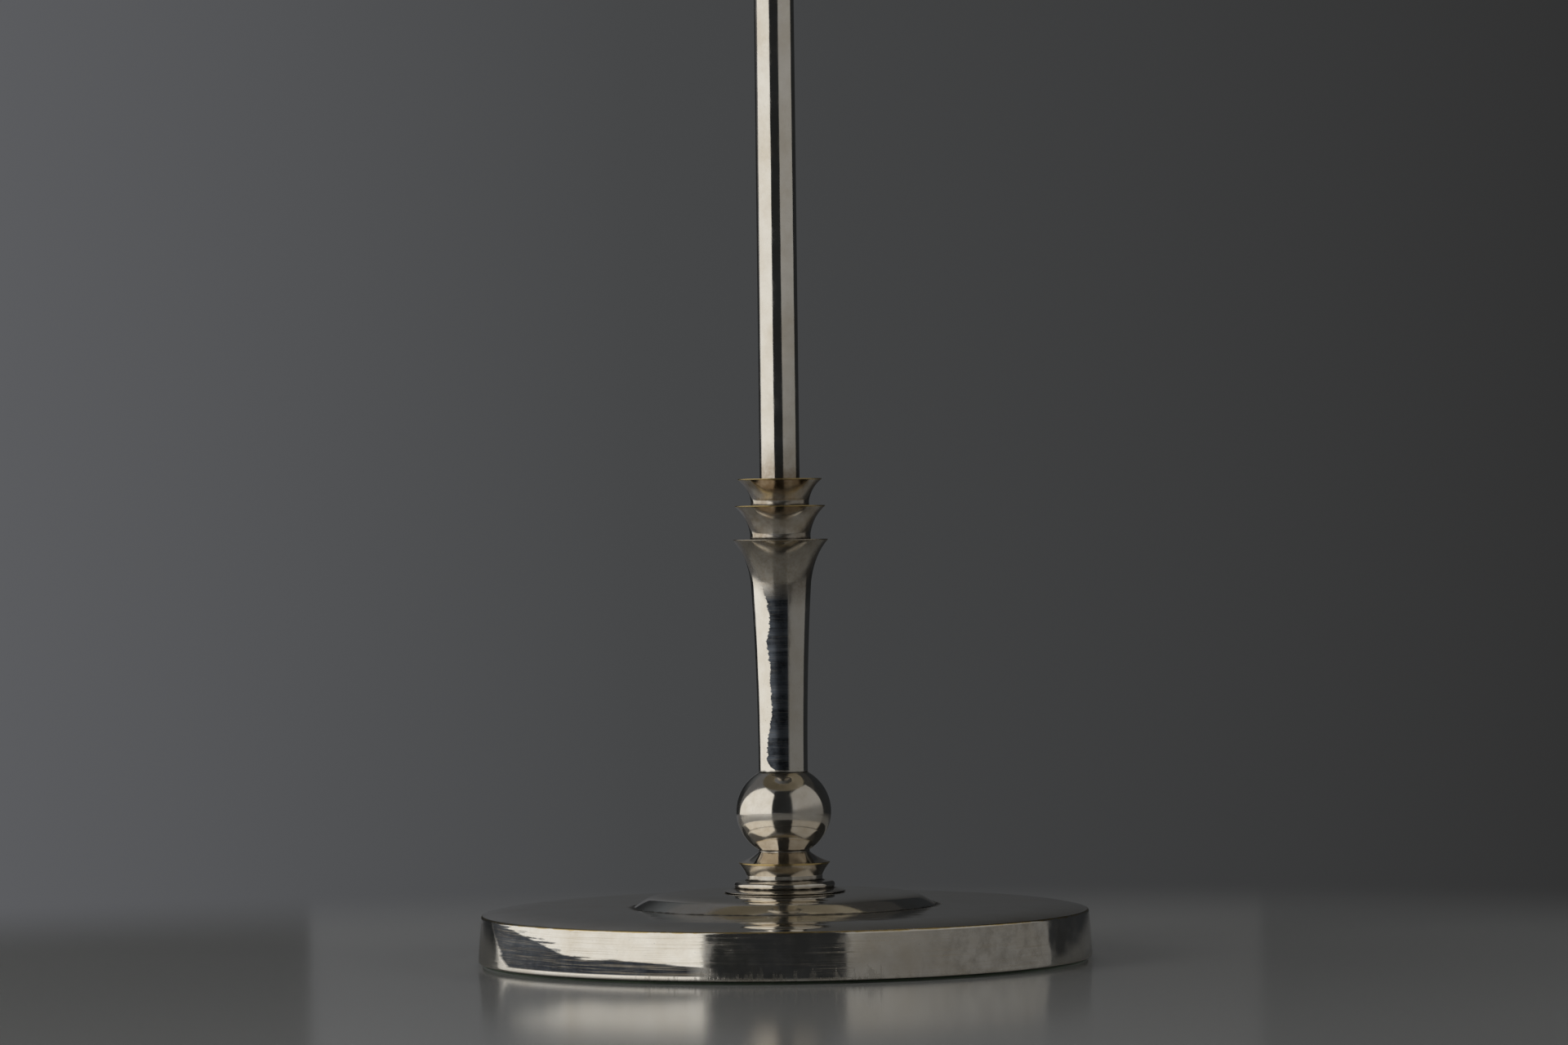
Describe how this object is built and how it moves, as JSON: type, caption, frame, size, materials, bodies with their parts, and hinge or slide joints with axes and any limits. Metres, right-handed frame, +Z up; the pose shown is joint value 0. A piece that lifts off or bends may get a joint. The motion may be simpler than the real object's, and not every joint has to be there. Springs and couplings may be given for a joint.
{
  "type": "table lamp",
  "caption": "Table lamp: slim stem on stacked trumpet collars, column and ball, round weighted base, turn-switch lampholder, cone shade that turns.",
  "frame": {"origin": "middle of the felt under the base, on the table", "axes": "+Z up along the stem; the picture's view looks along +Y from the front, -Y; +X to its right; cord inlet at the back, +Y; switch key on the right, +X"},
  "size_m": [0.456, 0.456, 0.597],
  "materials": {
    "silver_plate": "polished",
    "brass": "satin",
    "steel": "satin",
    "cast_iron": "matte",
    "felt": "matte",
    "phenolic": "satin",
    "porcelain": "gloss",
    "opal_glass": "gloss",
    "linen": "matte"
  },
  "bodies": {
    "stand": {"felt_pad": "felt", "base_shell": "silver_plate", "raised_plate": "silver_plate", "foot_ring": "silver_plate", "foot_moulding": "silver_plate", "ball": "silver_plate", "column": "silver_plate", "collar_lower": "silver_plate", "collar_upper": "silver_plate", "stem_tube": "silver_plate", "stem_cap": "silver_plate", "base_weight": "cast_iron", "cord_bush": "phenolic", "switch_block": "phenolic", "bulb_insulator": "phenolic", "plate_spacer": "brass", "rod_nut": "brass", "top_nut": "brass", "holder_cap": "brass", "holder_shell": "brass", "centre_contact": "brass", "screw_shell": "brass", "bulb_cap": "brass", "carrier_base_ring": "brass", "shade_ring": "brass", "carrier_wire_1": "brass", "carrier_wire_2": "brass", "carrier_wire_3": "brass", "carrier_top_ring": "brass", "rod_washer": "steel", "lock_washer": "steel", "tie_rod": "steel", "holder_grub_screw": "steel", "bulb_contact": "steel", "porcelain_insert": "porcelain", "mouth_ring": "porcelain", "bulb_glass": "opal_glass"},
    "switch": {"switch_spindle": "brass", "switch_key": "phenolic"},
    "shade": {"shade_hub": "brass", "shade_arm_1": "brass", "shade_arm_2": "brass", "shade_arm_3": "brass", "shade_top_ring": "brass", "shade_bottom_ring": "brass", "shade_cover": "linen"}
  },
  "joints": [
    {"name": "switch_turn", "type": "hinge", "parent": "stand", "child": "switch", "pos_m": [0.0277, 0, 0.4497], "axis": [1, 0, 0], "continuous": true},
    {"name": "shade_turn", "type": "hinge", "parent": "stand", "child": "shade", "pos_m": [0, 0, 0.582], "axis": [0, 0, 1], "continuous": true}
  ]
}
